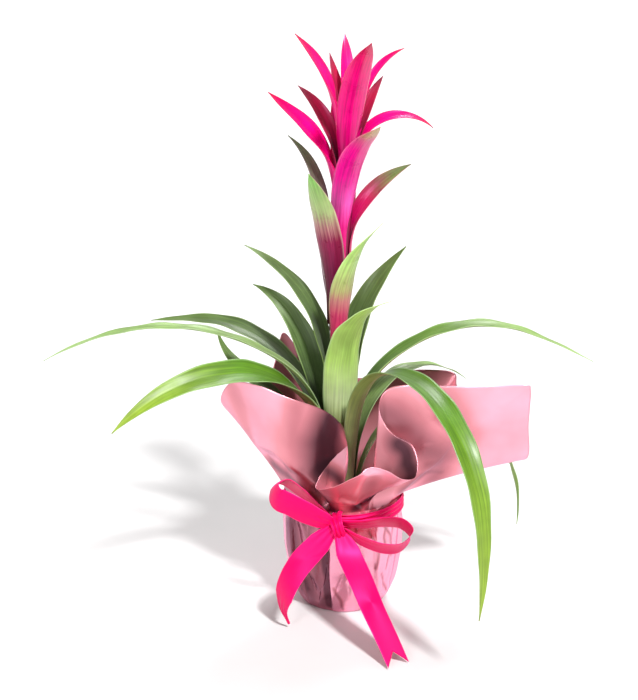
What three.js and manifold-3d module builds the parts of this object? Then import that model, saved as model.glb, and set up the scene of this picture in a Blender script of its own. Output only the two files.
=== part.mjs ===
// A flowering bromeliad in a plastic pot, gift-wrapped in one sheet of film and tied with a satin bow.
// Millimetres, +Z up. The origin is the middle of the wrapped pot's flat foot, and -Y is the front.

import * as THREE from 'three';
import Module from 'manifold-3d';
import { mergeVertices } from 'three/addons/utils/BufferGeometryUtils.js';

// ---- driving sizes ----
const TOUCH = 0.3; // gap kept between pieces that touch
const FILM = 0.8; // thickness of the wrap
const SATIN = 0.9; // thickness of the ribbon
const RIBBON_WIDTH = 25;

const POT_HEIGHT = 98;
const POT_FOOT_RADIUS = 39.5;
const POT_RIM_RADIUS = 55;
const POT_WALL = 1.5;
const POT_LIP = { out: 1.6, height: 9 };
const DRAIN_HOLE = { radius: 4, count: 6, ringRadius: 26 };
const SOIL_BELOW_RIM = 9;

const PLANT_X = -4; // the plant stands a little left of the pot's middle
const ROOT_RADIUS = 14;
const ROOT_DEPTH = 34;
const FIRST_RING = { radius: 10.5, height: 112 }; // where the innermost leaves are seated
const RING_STEP = { radius: 1.7, height: 2.2 }; // each further ring is wider and lower
const RING_COUNT = 8;
const SHEATH = { innermost: 17, perRing: 1.5 }; // width of a leaf's base

const LEAF_THICKNESS = { rib: 1.4, edge: 0.7 };
const LEAF_STATIONS = 15;
const BRACT_STATIONS = 9;
const BLADE_COLUMNS = 4;

const radians = THREE.MathUtils.degToRad;
const lerp = THREE.MathUtils.lerp;

// ---- materials ----
const finish = (color, roughness) => new THREE.MeshStandardMaterial({ color, roughness, metalness: 0 });
const LEAF_GREEN = finish('#6f9c3c', 0.45);
const BRACT_PINK = finish('#f0147c', 0.4);
const BRACT_GREEN = finish('#a9c878', 0.45);
const WRAP_ROSE = finish('#eea0a8', 0.55);
const SATIN_PINK = finish('#ff1476', 0.35);
const POT_BROWN = finish('#4a3a34', 0.6);
const SOIL_DARK = finish('#3a2c22', 0.95);

// ---- solids from sheets, and joining ----

// Height of a line of evenly spaced values at t, from 0 to 1.
function along(values, t) {
  const place = t * (values.length - 1);
  const step = Math.min(Math.floor(place), values.length - 2);
  return lerp(values[step], values[step + 1], place - step);
}

// The grid's normals: along the rows, crossed with along the columns. A row that shrinks to one
// point takes the mean of the next row's normals.
function gridNormals(grid, loop) {
  const rows = grid.length;
  const columns = grid[0].length;
  const normals = grid.map((row, i) => row.map((_, j) => {
    const before = grid[Math.max(i - 1, 0)][j];
    const after = grid[Math.min(i + 1, rows - 1)][j];
    const left = row[loop ? (j + columns - 1) % columns : Math.max(j - 1, 0)];
    const right = row[loop ? (j + 1) % columns : Math.min(j + 1, columns - 1)];
    const down = after.clone().sub(before);
    return down.cross(right.clone().sub(left)).normalize();
  }));
  if (loop && grid[0][0].distanceTo(grid[0][1]) < 1e-6) {
    const mean = normals[1].reduce((sum, normal) => sum.add(normal), new THREE.Vector3()).normalize();
    normals[0] = normals[0].map(() => mean);
  }
  return normals;
}

// A closed body round a grid of points: each face lies half the thickness to one side of it, and
// both faces are split into triangles alike.
function bodyFromSheet(grid, thickness, loop = false) {
  const rows = grid.length;
  const columns = grid[0].length;
  const normals = gridNormals(grid, loop);
  const positions = [];
  for (const side of [0.5, -0.5]) {
    grid.forEach((row, i) => row.forEach((point, j) => {
      positions.push(...point.clone().addScaledVector(normals[i][j], side * thickness(i, j)));
    }));
  }
  const vertex = (side, i, j) => side * rows * columns + i * columns + (j % columns);
  const faces = [];
  const quad = (a, b, c, d) => faces.push(a, b, c, a, c, d);
  const lastColumn = loop ? columns : columns - 1;
  for (let i = 0; i < rows - 1; i += 1) {
    for (let j = 0; j < lastColumn; j += 1) {
      const corners = (side) => [
        vertex(side, i, j), vertex(side, i + 1, j), vertex(side, i + 1, j + 1), vertex(side, i, j + 1)];
      const [a, b, c, d] = corners(0);
      quad(a, b, c, d);
      const [e, f, g, h] = corners(1);
      faces.push(e, g, f, e, h, g);
    }
    if (!loop) {
      quad(vertex(0, i, 0), vertex(1, i, 0), vertex(1, i + 1, 0), vertex(0, i + 1, 0));
      const end = columns - 1;
      quad(vertex(0, i, end), vertex(0, i + 1, end), vertex(1, i + 1, end), vertex(1, i, end));
    }
  }
  const pole = loop && grid[0][0].distanceTo(grid[0][1]) < 1e-6;
  for (let j = 0; j < lastColumn; j += 1) {
    if (!pole) quad(vertex(0, 0, j), vertex(0, 0, j + 1), vertex(1, 0, j + 1), vertex(1, 0, j));
    const last = rows - 1;
    quad(vertex(0, last, j), vertex(1, last, j), vertex(1, last, j + 1), vertex(0, last, j + 1));
  }
  return weld(positions, faces);
}

// One indexed body, with shared vertices merged and triangles that shrank to a line left out.
function weld(positions, faces) {
  const loose = new THREE.BufferGeometry();
  loose.setAttribute('position', new THREE.Float32BufferAttribute(positions, 3));
  loose.setIndex(faces);
  const merged = mergeVertices(loose, 1e-4);
  const index = [...merged.index.array];
  const kept = [];
  for (let k = 0; k < index.length; k += 3) {
    const [a, b, c] = index.slice(k, k + 3);
    if (a !== b && b !== c && c !== a) kept.push(a, b, c);
  }
  merged.setIndex(kept);
  return merged;
}

const wasm = await Module();
wasm.setup();

function toManifold(geometry) {
  const bare = geometry.clone();
  bare.deleteAttribute('normal');
  bare.deleteAttribute('uv');
  const merged = mergeVertices(bare, 1e-4);
  return new wasm.Manifold(new wasm.Mesh({
    numProp: 3,
    vertProperties: new Float32Array(merged.attributes.position.array),
    triVerts: new Uint32Array(merged.index.array),
  }));
}

function fromManifold(solid) {
  const mesh = solid.getMesh();
  const geometry = new THREE.BufferGeometry();
  geometry.setAttribute('position', new THREE.BufferAttribute(mesh.vertProperties, 3));
  geometry.setIndex(new THREE.BufferAttribute(mesh.triVerts, 1));
  return geometry;
}

// Joins bodies into one. Hollows that joining seals are filled, because only the outer skin is kept.
function join(geometries) {
  const whole = geometries.map(toManifold).reduce((sum, piece) => sum.add(piece));
  const skins = whole.decompose().sort((a, b) => b.volume() - a.volume());
  return fromManifold(skins[0]);
}

// A turned body round the vertical line through (x, 0).
function turned(profile, segments, x = 0) {
  const points = profile.map(([radius, height]) => new THREE.Vector2(radius, height));
  return new THREE.LatheGeometry(points, segments).rotateX(Math.PI / 2).translate(x, 0, 0);
}

// ---- pot and soil ----
const POT_Z = FILM + TOUCH;
const RIM_Z = POT_Z + POT_HEIGHT;
const SOIL_Z = RIM_Z - SOIL_BELOW_RIM;
const potRadius = (z) => lerp(POT_FOOT_RADIUS, POT_RIM_RADIUS - POT_LIP.out, (z - POT_Z) / POT_HEIGHT);

function potGeometry() {
  const lipZ = RIM_Z - POT_LIP.height;
  const shell = turned([
    [0, POT_Z], [POT_FOOT_RADIUS, POT_Z], [potRadius(lipZ), lipZ],
    [potRadius(lipZ) + POT_LIP.out, lipZ], [POT_RIM_RADIUS, RIM_Z],
    [potRadius(RIM_Z) - POT_WALL, RIM_Z], [potRadius(POT_Z) - POT_WALL, POT_Z + POT_WALL],
    [0, POT_Z + POT_WALL]], 40);
  let pot = toManifold(shell);
  for (let k = 0; k < DRAIN_HOLE.count; k += 1) {
    const turn = (2 * Math.PI * k) / DRAIN_HOLE.count;
    const hole = new THREE.CylinderGeometry(DRAIN_HOLE.radius, DRAIN_HOLE.radius, 4 * POT_WALL, 10);
    hole.rotateX(Math.PI / 2);
    hole.translate(DRAIN_HOLE.ringRadius * Math.cos(turn), DRAIN_HOLE.ringRadius * Math.sin(turn), POT_Z);
    pot = pot.subtract(toManifold(hole));
  }
  return fromManifold(pot);
}

// The soil fills the pot and has a plain hole where the root ball of the plant stands.
function soilGeometry() {
  const floor = POT_Z + POT_WALL + TOUCH;
  const insideRadius = (z) => potRadius(z) - POT_WALL - TOUCH;
  const fill = turned([
    [0, floor], [insideRadius(floor), floor], [insideRadius(SOIL_Z - 2), SOIL_Z - 2], [0, SOIL_Z]], 40);
  const holeRadius = ROOT_RADIUS + TOUCH;
  const hole = new THREE.CylinderGeometry(holeRadius, holeRadius, ROOT_DEPTH, 24).rotateX(Math.PI / 2);
  hole.translate(PLANT_X, 0, SOIL_Z - ROOT_DEPTH / 2 + 2);
  return fromManifold(toManifold(fill).subtract(toManifold(hole)));
}

// ---- blades: leaves and bracts ----

// The blade's middle line leaves its seat, rises and arches over as its pitch falls from one
// value to the next. The heading turns by drift degrees on the way to the tip, and the blade
// itself rolls over by roll degrees between its base and its middle.
function bladeFrames({ azimuth, seat, length, pitch, drift = 0, roll = 0, stations }) {
  const steps = 4;
  const count = stations * steps;
  const start = radians(azimuth);
  const point = new THREE.Vector3(
    seat.x + seat.radius * Math.cos(start), seat.radius * Math.sin(start), seat.z);
  const frames = [];
  const facing = (t) => {
    const rise = radians(along(pitch, t));
    const heading = radians(azimuth + drift * t * t);
    const forward = new THREE.Vector3(
      Math.cos(rise) * Math.cos(heading), Math.cos(rise) * Math.sin(heading), Math.sin(rise));
    const across = new THREE.Vector3(-Math.sin(heading), Math.cos(heading), 0);
    across.applyAxisAngle(forward, radians(roll) * THREE.MathUtils.smoothstep(t, 0.3, 0.7));
    return { forward, across, upper: forward.clone().cross(across) };
  };
  for (let k = 0; k <= count; k += 1) {
    if (k % steps === 0) frames.push({ t: k / count, point: point.clone(), ...facing(k / count) });
    const halfway = Math.min((k + 0.5) / count, 1);
    point.addScaledVector(facing(halfway).forward, length / count);
  }
  return frames;
}

// Share of the full width: sheathing base, widest near the middle, pointed tip.
function bladeWidth(t, base, widest = 0.48) {
  if (t < widest) return lerp(base, 1, THREE.MathUtils.smoothstep(t, 0, widest));
  return Math.max(1 - ((t - widest) / (1 - widest)) ** 1.9, 0.05);
}

// The section is an arc that curls round the stem at the base and opens on the way up. The cup is
// the half angle of that arc, in radians, where the blade is widest.
function bladeGeometry(blade) {
  const { width, base = 0.75, cup = 0.5, thickness = LEAF_THICKNESS, seat } = blade;
  const grid = bladeFrames(blade).map(({ t, point, across, upper }) => {
    const half = (width * bladeWidth(t, base)) / 2;
    const bend = lerp(seat.radius, width / 2 / cup, THREE.MathUtils.smoothstep(t, 0.15, 0.55));
    return Array.from({ length: BLADE_COLUMNS + 1 }, (_, j) => {
      const angle = (half / bend) * ((2 * j) / BLADE_COLUMNS - 1);
      return point.clone()
        .addScaledVector(across, bend * Math.sin(angle))
        .addScaledVector(upper, bend * (1 - Math.cos(angle)));
    });
  });
  const last = grid.length - 1;
  const thick = (i, j) => {
    const edge = Math.abs((2 * j) / BLADE_COLUMNS - 1);
    return lerp(lerp(thickness.rib, thickness.edge, edge), thickness.edge, i / last);
  };
  return bodyFromSheet(grid, thick);
}

// ---- leaves ----
// ring: 0 is innermost. pitch: degrees above level, at even steps from the base to the tip.
const LEAVES = {
  leaf_left_upper: {
    ring: 0, azimuth: 167, length: 295, width: 25, roll: -25,
    pitch: [90, 89, 88, 75, 46, 22] },
  leaf_right_upper: {
    ring: 0, azimuth: 40, length: 276, width: 32, cup: 0.65, roll: 40, drift: -42,
    pitch: [90, 90, 90, 79, 58, 46] },
  leaf_front_upper: {
    ring: 1, azimuth: -90, length: 277, width: 37, drift: 50,
    pitch: [90, 86, 82, 69, 42, 21] },
  leaf_back_upper: {
    ring: 1, azimuth: 89, length: 300, width: 21, cup: 0.8,
    pitch: [90, 87, 62, 28, -4, -28] },
  leaf_left_wide: {
    ring: 2, azimuth: 157, length: 250, width: 29, cup: 0.65, roll: -45,
    pitch: [90, 86, 80, 74, 53, 12] },
  leaf_right_long: {
    ring: 2, azimuth: 7, length: 386, width: 28, cup: 0.6,
    pitch: [90, 87, 43, 11, -21, -30] },
  leaf_right_low: {
    ring: 3, azimuth: 40, length: 257, width: 22,
    pitch: [90, 82, 52, 10, -19, -38] },
  leaf_front_drooping: {
    ring: 3, azimuth: -57, length: 496, width: 28,
    pitch: [90, 77, 13, -36, -80, -100] },
  leaf_left_long: {
    ring: 4, azimuth: 191, length: 418, width: 22,
    pitch: [90, 86, 38, 15, -8, -29] },
  leaf_right_drooping: {
    ring: 4, azimuth: 16, length: 335, width: 20,
    pitch: [90, 60, 0, -40, -70, -96] },
  leaf_left_back: {
    ring: 5, azimuth: 147, length: 327, width: 24, cup: 0.6, drift: 15, roll: -20,
    pitch: [90, 85, 52, 24, -3, -12] },
  leaf_left_front: {
    ring: 6, azimuth: 214, length: 359, width: 30, cup: 0.6, drift: -9, roll: -45,
    pitch: [90, 87, 43, 9, -17, -42] },
  leaf_back_low: {
    ring: 7, azimuth: 108, length: 245, width: 24,
    pitch: [90, 88, 64, 28, -10, -30] },
  leaf_left_turned: {
    ring: 7, azimuth: 172, length: 224, width: 19, roll: -40,
    pitch: [90, 78, 61, 42, 41, 79] },
};

function leafGeometry({ ring, ...leaf }) {
  const seat = {
    x: PLANT_X,
    radius: FIRST_RING.radius + ring * RING_STEP.radius,
    z: FIRST_RING.height - ring * RING_STEP.height,
  };
  const base = Math.min((SHEATH.innermost + ring * SHEATH.perRing) / leaf.width, 0.95);
  return bladeGeometry({ ...leaf, seat, base, stations: LEAF_STATIONS });
}

// ---- flower spike ----
// The stem leans a little left and then right on its way up. Each row: height, middle x, radius.
const STEM = [
  [112, -4, 8], [160, -5, 6.8], [220, -6.2, 6.8], [300, -6.3, 7], [350, -4.5, 8],
  [405, -1, 8], [450, 1.5, 7], [495, 4, 5.4], [530, 5.5, 3.2]];

function stemAt(z) {
  const above = Math.max(STEM.findIndex(([height]) => height >= z), 1);
  const [low, high] = [STEM[above - 1], STEM[above]];
  const t = (z - low[0]) / (high[0] - low[0]);
  return { x: lerp(low[1], high[1], t), radius: lerp(low[2], high[2], t) };
}

// The stem, the short crown whose steps the leaves stand on, and the root ball in the soil.
function stemGeometry() {
  const crown = [[0, SOIL_Z - ROOT_DEPTH + 4], [ROOT_RADIUS, SOIL_Z - ROOT_DEPTH + 6], [ROOT_RADIUS, SOIL_Z]];
  for (let ring = RING_COUNT - 1; ring >= 0; ring -= 1) {
    const radius = FIRST_RING.radius + ring * RING_STEP.radius + RING_STEP.radius / 2;
    const top = FIRST_RING.height - ring * RING_STEP.height - TOUCH;
    crown.push([radius, top - RING_STEP.height + 0.01], [radius, top]);
  }
  crown.push([0, FIRST_RING.height - TOUCH]);
  const sides = 12;
  const rings = STEM.map(([z, x, radius]) => Array.from({ length: sides }, (_, k) => {
    const turn = (-2 * Math.PI * k) / sides;
    return [x + radius * Math.cos(turn), radius * Math.sin(turn), z - (z === STEM[0][0] ? 3 : 0)];
  }));
  const positions = rings.flat(2);
  const [top, bottom] = [rings.length * sides, rings.length * sides + 1];
  const [lowest, highest] = [rings[0], rings[rings.length - 1]];
  positions.push(STEM[STEM.length - 1][1], 0, highest[0][2] + 4, STEM[0][1], 0, lowest[0][2]);
  const faces = [];
  for (let i = 0; i < rings.length - 1; i += 1) {
    for (let k = 0; k < sides; k += 1) {
      const next = (k + 1) % sides;
      const [a, b, c, d] = [i * sides + k, (i + 1) * sides + k, (i + 1) * sides + next, i * sides + next];
      faces.push(a, b, c, a, c, d);
    }
  }
  for (let k = 0; k < sides; k += 1) {
    const next = (k + 1) % sides;
    faces.push((rings.length - 1) * sides + k, top, (rings.length - 1) * sides + next);
    faces.push(k, next, bottom);
  }
  return join([turned(crown, 28, PLANT_X), weld(positions, faces)]);
}

const BRACT_THICKNESS = { rib: 1.3, edge: 0.7 };

// off: how far the bract's base stands off the stem's middle line.
function bractGeometry({ off, height, ...bract }) {
  const seat = { x: stemAt(height).x, radius: off, z: height };
  return bladeGeometry({
    ...bract, seat, base: 0.8, cup: 0.8, thickness: BRACT_THICKNESS, stations: BRACT_STATIONS });
}

// The pink bracts grow out of the stem and are one piece with it.
const PINK_BRACTS = [
  { height: 350, off: 7.5, azimuth: -72, length: 216, width: 30, pitch: [88, 87, 68, 42, 29, 24] },
  { height: 388, off: 7.5, azimuth: 192, length: 165, width: 24, roll: -45, pitch: [88, 89, 75, 55, 44, 40] },
  { height: 405, off: 7.5, azimuth: 8, length: 160, width: 18, roll: 25, pitch: [88, 91, 76, 38, -3, -44] },
  { height: 425, off: 7, azimuth: 150, length: 121, width: 18, roll: -30, pitch: [88, 84, 77, 63, 47, 30] },
  { height: 435, off: 7, azimuth: 40, length: 115, width: 16, roll: 30, pitch: [88, 82, 74, 66, 56, 45] },
  { height: 425, off: 6.5, azimuth: -78, length: 205, width: 30, pitch: [88, 79, 65, 49, 37, 27] },
  { height: 450, off: 6.5, azimuth: 200, length: 147, width: 24, roll: -40, pitch: [88, 85, 79, 69, 57, 46] },
  { height: 470, off: 6, azimuth: 130, length: 96, width: 14, pitch: [88, 83, 78, 74, 71, 68] },
  { height: 495, off: 5, azimuth: 100, length: 89, width: 15, pitch: [88, 84, 79, 74, 68, 62] },
  { height: 475, off: 6, azimuth: 20, length: 112, width: 13, roll: 20, pitch: [88, 78, 70, 62, 42, 16] },
  { height: 395, off: 7.5, azimuth: 96, length: 150, width: 24, pitch: [88, 84, 74, 62, 50, 40] },
];

// The lower bracts have green tips and wrap the stem, each over the one above it.
const GREEN_BRACTS = {
  bract_left_dark: {
    height: 290, off: 8, azimuth: 168, length: 205, width: 20, roll: -35,
    pitch: [90, 78, 88, 90, 68, 37] },
  bract_front_left: {
    height: 298, off: 10.6, azimuth: -110, length: 184, width: 30,
    pitch: [88, 80, 72, 63, 55, 46] },
  bract_right: {
    height: 335, off: 10.8, azimuth: 15, length: 147, width: 20, roll: 45,
    pitch: [88, 90, 78, 55, 36, 19] },
  bract_front_right: {
    height: 262, off: 8, azimuth: -86, length: 172, width: 26, drift: 80,
    pitch: [75, 75, 67, 61, 56, 46] },
  bract_back: {
    height: 322, off: 12.5, azimuth: 78, length: 150, width: 24,
    pitch: [88, 86, 76, 62, 50, 40] },
};

const flowerSpikeGeometry = () => join([stemGeometry(), ...PINK_BRACTS.map(bractGeometry)]);

// ---- the wrap ----
// The free edge of the sheet, going round anticlockwise from the left as seen from above. Each
// point: x, y, z, and the compass angle at the neck from which the sheet runs up to it.
const SHEET_EDGE = [
  [-124, -12, 219, 182], [-112, -36, 246, 192], [-84, -58, 251, 205], [-54, -63, 240, 218],
  [-24, -58, 228, 232], [-8, -50, 214, 243], [1, -42, 196, 250], [-4, -52, 181, 253],
  [-14, -63, 172, 255.5], [-23, -73, 162, 258], [-27, -81, 153, 260], [-10, -90, 158, 263],
  [8, -93, 170, 268], [24, -93, 181, 273], [42, -91, 176, 278], [58, -86, 165, 283],
  [70, -77, 163, 287], [73, -67, 175, 290], [66, -57, 187, 292.5], [53, -49, 194, 295],
  [41, -42, 206, 297.5], [35, -36, 223, 300], [42, -32, 238, 304], [62, -37, 245, 310],
  [95, -42, 246, 318], [139, -38, 245, 328], [180, -25, 239, 338], [185, -14, 197, 344],
  [187, -2, 154, 350], [165, 30, 150, 362], [132, 52, 168, 376], [119, 63, 208, 388],
  [113, 70, 222, 395], [88, 81, 222, 405], [58, 89, 217, 417], [20, 94, 208, 435],
  [-18, 94, 212, 455], [-46, 84, 240, 474], [-64, 75, 264, 486], [-71, 66, 240, 496],
  [-85, 48, 205, 508], [-112, 18, 196, 526]];
const COLUMNS_PER_EDGE_POINT = 2;

// Round the pot, each row: height, radius, depth of the pleats.
const WRAPPED_POT = [
  [FILM / 2, 43, 0], [7, 48, 0.3], [30, 54.5, 0.8], [58, 59.5, 1.2], [90, 60.5, 1.4],
  [103, 58.2, 1.2], [118, 58, 1.2]];
const NECK = { height: 118, radius: 58 };
const PLEATS = 11;
const COLLAR_ROWS = 4;

function wrapGeometry() {
  const columns = SHEET_EDGE.length * COLUMNS_PER_EDGE_POINT;
  const edge = new THREE.CatmullRomCurve3(
    SHEET_EDGE.map(([x, y, z]) => new THREE.Vector3(x, y, z)), true, 'centripetal');
  const angles = [...SHEET_EDGE.map((point) => point[3]), SHEET_EDGE[0][3] + 360];
  const around = Array.from({ length: columns }, (_, j) => j / columns);
  const ringPoint = (u, height, radius, pleat) => {
    const angle = radians(along(angles, u));
    const r = radius + pleat * Math.cos(PLEATS * angle);
    return new THREE.Vector3(r * Math.cos(angle), r * Math.sin(angle), height);
  };
  const grid = [around.map(() => new THREE.Vector3(0, 0, FILM / 2))];
  for (const [height, radius, pleat] of WRAPPED_POT) {
    grid.push(around.map((u) => ringPoint(u, height, radius, pleat)));
  }
  for (let row = 1; row <= COLLAR_ROWS; row += 1) {
    const v = row / COLLAR_ROWS;
    grid.push(around.map((u) => {
      const neck = ringPoint(u, NECK.height, NECK.radius, WRAPPED_POT[WRAPPED_POT.length - 1][2]);
      const free = edge.getPoint(u);
      const middle = neck.clone().lerp(free, 0.42).add(new THREE.Vector3(0, 0, 6));
      return neck.multiplyScalar((1 - v) ** 2)
        .addScaledVector(middle, 2 * v * (1 - v)).addScaledVector(free, v * v);
    }));
  }
  return bodyFromSheet(grid.map((row) => row.toReversed()), () => FILM, true);
}

// ---- the ribbon ----
const BAND = { low: 102, high: 116, radius: 60.1 };
const KNOT = { x: -7, y: -69, z: 109, radii: [11, 8.5, 10] };

// A strip of ribbon along a route, its width laid along the lean vector at each point.
function stripGeometry(route, leans, widths, samples) {
  const path = new THREE.CatmullRomCurve3(route.map((point) => new THREE.Vector3(...point)));
  const lean = new THREE.CatmullRomCurve3(leans.map((vector) => new THREE.Vector3(...vector)));
  const grid = Array.from({ length: samples + 1 }, (_, i) => {
    const t = i / samples;
    const middle = path.getPoint(t);
    const forward = path.getTangent(t);
    const across = lean.getPoint(t);
    across.addScaledVector(forward, -across.dot(forward)).normalize();
    const half = along(widths, t) / 2;
    return [-1, 1].map((side) => middle.clone().addScaledVector(across, side * half));
  });
  return bodyFromSheet(grid, () => SATIN);
}

// A loop of the bow: out from the knot along one strand and back along the other.
function loopGeometry({ reach, part, lean, samples = 16 }) {
  const shape = [[0.05, 0.15], [0.35, 0.75], [0.72, 1], [0.95, 0.65], [1, 0], [0.93, -0.7],
    [0.7, -1], [0.35, -0.7], [0.05, -0.15]];
  const knot = new THREE.Vector3(KNOT.x, KNOT.y, KNOT.z);
  const out = new THREE.Vector3(...reach);
  const depth = new THREE.Vector3(...part);
  const route = shape.map(([far, off]) => knot.clone()
    .addScaledVector(out, far).addScaledVector(depth, off).toArray());
  const widths = [9, 18, RIBBON_WIDTH, RIBBON_WIDTH, RIBBON_WIDTH, RIBBON_WIDTH, RIBBON_WIDTH, 18, 9];
  return stripGeometry(route, [lean, lean], widths, samples);
}

const LEFT_LOOP = { reach: [-63, -5, 38], part: [3, 10, 5], lean: [0.5, -0.35, 0.8] };
const RIGHT_LOOP = { reach: [79, -3, -16], part: [0, 4, 12], lean: [0.1, -0.8, 0.5] };
const LEFT_TAIL = {
  route: [[-9, -72, 106], [-30, -79, 92], [-50, -85, 66], [-60, -86, 42], [-58, -83, 22], [-53, -79, 7]],
  leans: [[0.6, -0.2, -0.75], [0.7, -0.3, -0.6], [0.75, -0.55, -0.3], [0.6, -0.8, 0], [0.5, -0.85, 0]],
  widths: [12, RIBBON_WIDTH, RIBBON_WIDTH, RIBBON_WIDTH, RIBBON_WIDTH, 13, 3],
};
const RIGHT_TAIL = {
  route: [[-3, -73, 104], [5, -82, 90], [18, -100, 67], [32, -121, 43], [45, -143, 18], [54, -158, 1.3]],
  leans: [[0.95, 0.3, 0.1], [0.95, 0.3, 0.1], [0.85, 0.5, 0], [0.77, 0.64, 0]],
  widths: [12, RIBBON_WIDTH, RIBBON_WIDTH, RIBBON_WIDTH],
};
const NOTCH_DEPTH = 15;

const tailGeometry = ({ route, leans, widths }) => stripGeometry(route, leans, widths, 10);

function ribbonGeometry() {
  const band = turned([
    [BAND.radius, BAND.low], [BAND.radius + SATIN, BAND.low], [BAND.radius + SATIN, BAND.high],
    [BAND.radius, BAND.high], [BAND.radius, BAND.low]], 48);
  const knot = new THREE.SphereGeometry(1, 12, 8).scale(...KNOT.radii).translate(KNOT.x, KNOT.y, KNOT.z);
  const loops = [LEFT_LOOP, RIGHT_LOOP].map(loopGeometry);
  const tails = [LEFT_TAIL, RIGHT_TAIL].map(tailGeometry);
  const whole = join([band, knot, ...loops, ...tails]);
  return fromManifold(toManifold(whole).subtract(toManifold(notchGeometry())));
}

// The wedge that is cut out of the right tail's end to leave two points.
function notchGeometry() {
  const [before, end] = RIGHT_TAIL.route.slice(-2).map((point) => new THREE.Vector3(...point));
  const forward = end.clone().sub(before).normalize();
  const across = new THREE.Vector3(...RIGHT_TAIL.leans.at(-1)).normalize();
  const face = forward.clone().cross(across).normalize();
  const outline = new THREE.Shape([
    new THREE.Vector2(-NOTCH_DEPTH, 0), new THREE.Vector2(6, -0.7 * RIBBON_WIDTH),
    new THREE.Vector2(6, 0.7 * RIBBON_WIDTH)]);
  const wedge = new THREE.ExtrudeGeometry(outline, { depth: 20, bevelEnabled: false }).translate(0, 0, -10);
  return wedge.applyMatrix4(new THREE.Matrix4().makeBasis(forward, across, face).setPosition(end));
}

// ---- the whole plant ----
const plant = new THREE.Group();

function addPiece(name, geometry, material) {
  const mesh = new THREE.Mesh(geometry, material);
  mesh.name = name;
  plant.add(mesh);
}

addPiece('pot', potGeometry(), POT_BROWN);
addPiece('soil', soilGeometry(), SOIL_DARK);
addPiece('flower_spike', flowerSpikeGeometry(), BRACT_PINK);
for (const [name, bract] of Object.entries(GREEN_BRACTS)) {
  addPiece(name, bractGeometry(bract), BRACT_GREEN);
}
for (const [name, leaf] of Object.entries(LEAVES)) addPiece(name, leafGeometry(leaf), LEAF_GREEN);
addPiece('wrap', wrapGeometry(), WRAP_ROSE);
addPiece('ribbon', ribbonGeometry(), SATIN_PINK);

export default plant;
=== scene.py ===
# %% [markdown]
# # A gift-wrapped bromeliad in Blender
# The real thing is a flowering plant in an 11 cm nursery pot. A florist set the pot on the middle of
# one sheet of soft wrap, pulled the sheet up round it, tied it below the rim with satin ribbon and
# let the rest flare out as a collar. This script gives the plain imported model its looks: fine leaves
# with veins, glossy bracts, a creased sheet, a satin bow. It first loads the model, because its box
# is the size that nothing here may outgrow.

import math

import bpy
import numpy as np
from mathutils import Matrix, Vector, noise


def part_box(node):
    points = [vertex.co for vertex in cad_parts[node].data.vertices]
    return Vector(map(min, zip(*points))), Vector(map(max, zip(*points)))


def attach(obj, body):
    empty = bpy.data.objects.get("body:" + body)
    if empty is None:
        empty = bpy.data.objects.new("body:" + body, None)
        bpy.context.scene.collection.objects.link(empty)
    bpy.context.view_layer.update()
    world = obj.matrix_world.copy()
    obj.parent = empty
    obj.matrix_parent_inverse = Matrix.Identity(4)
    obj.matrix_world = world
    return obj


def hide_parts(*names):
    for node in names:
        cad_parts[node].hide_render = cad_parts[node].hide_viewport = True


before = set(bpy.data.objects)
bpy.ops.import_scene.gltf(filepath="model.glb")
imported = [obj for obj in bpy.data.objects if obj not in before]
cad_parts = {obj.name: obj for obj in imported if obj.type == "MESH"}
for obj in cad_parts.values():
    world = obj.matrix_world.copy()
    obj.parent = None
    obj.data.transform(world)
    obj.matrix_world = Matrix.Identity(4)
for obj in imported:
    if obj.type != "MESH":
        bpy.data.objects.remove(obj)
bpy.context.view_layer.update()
scene = bpy.context.scene
MM = 0.001  # one millimetre, in metres

# %% [markdown]
# ## Camera
# A picture can be laid over another one only if both were taken from the same place. The photograph
# looks down on the plant from about 1.7 m away through a longish lens, so the camera stands there.
# It is made first, because every later comparison depends on it.

# %% Camera at the photograph's angle
EYE = Vector((0, -1.6, 0.78))
TILT_DOWN = math.radians(17.71)
TURN_LEFT = math.radians(0.9)
LENS_MM = 86.0


def in_scene(name, data):
    """An object that holds the data, linked into the scene."""
    made = bpy.data.objects.new(name, data)
    scene.collection.objects.link(made)
    return made


camera = in_scene("camera", bpy.data.cameras.new("camera"))
camera.location = EYE
camera.rotation_euler = (math.pi / 2 - TILT_DOWN, 0, TURN_LEFT)
camera.data.lens = LENS_MM
scene.camera = camera
print("camera", tuple(round(x, 2) for x in camera.location), "with a", LENS_MM, "mm lens")

# %% [markdown]
# ## Materials are built from nodes
# Every finish below is a Principled shader fed by procedural patterns. One small function adds a
# node with its settings and its links, so that a material reads as a list of what it is made of.
# The kinds of node that come back often each get a short name.

# %% One function for every node
def colour(code):
    """A linear colour from an sRGB code such as #ff8000."""
    shares = [int(code[k:k + 2], 16) / 255 for k in (1, 3, 5)]
    return (*[s / 12.92 if s <= 0.04045 else ((s + 0.055) / 1.055) ** 2.4 for s in shares], 1.0)


def new_material(name):
    made = bpy.data.materials.new(name)
    made.use_nodes = True
    return made, made.node_tree, made.node_tree.nodes["Principled BSDF"]


def add(tree, kind, inputs=None, out=0, **settings):
    """Adds a node and gives back one of its outputs, or all of them where out is None.
    inputs are values or other nodes' outputs."""
    made = tree.nodes.new("ShaderNode" + kind)
    for key, value in settings.items():
        setattr(made, key, value)
    connect(tree, made, inputs or {})
    return made.outputs if out is None else made.outputs[out]


def connect(tree, node, inputs):
    for key, value in inputs.items():
        if isinstance(value, bpy.types.NodeSocket):
            tree.links.new(value, node.inputs[key])
        else:
            node.inputs[key].default_value = value


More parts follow.
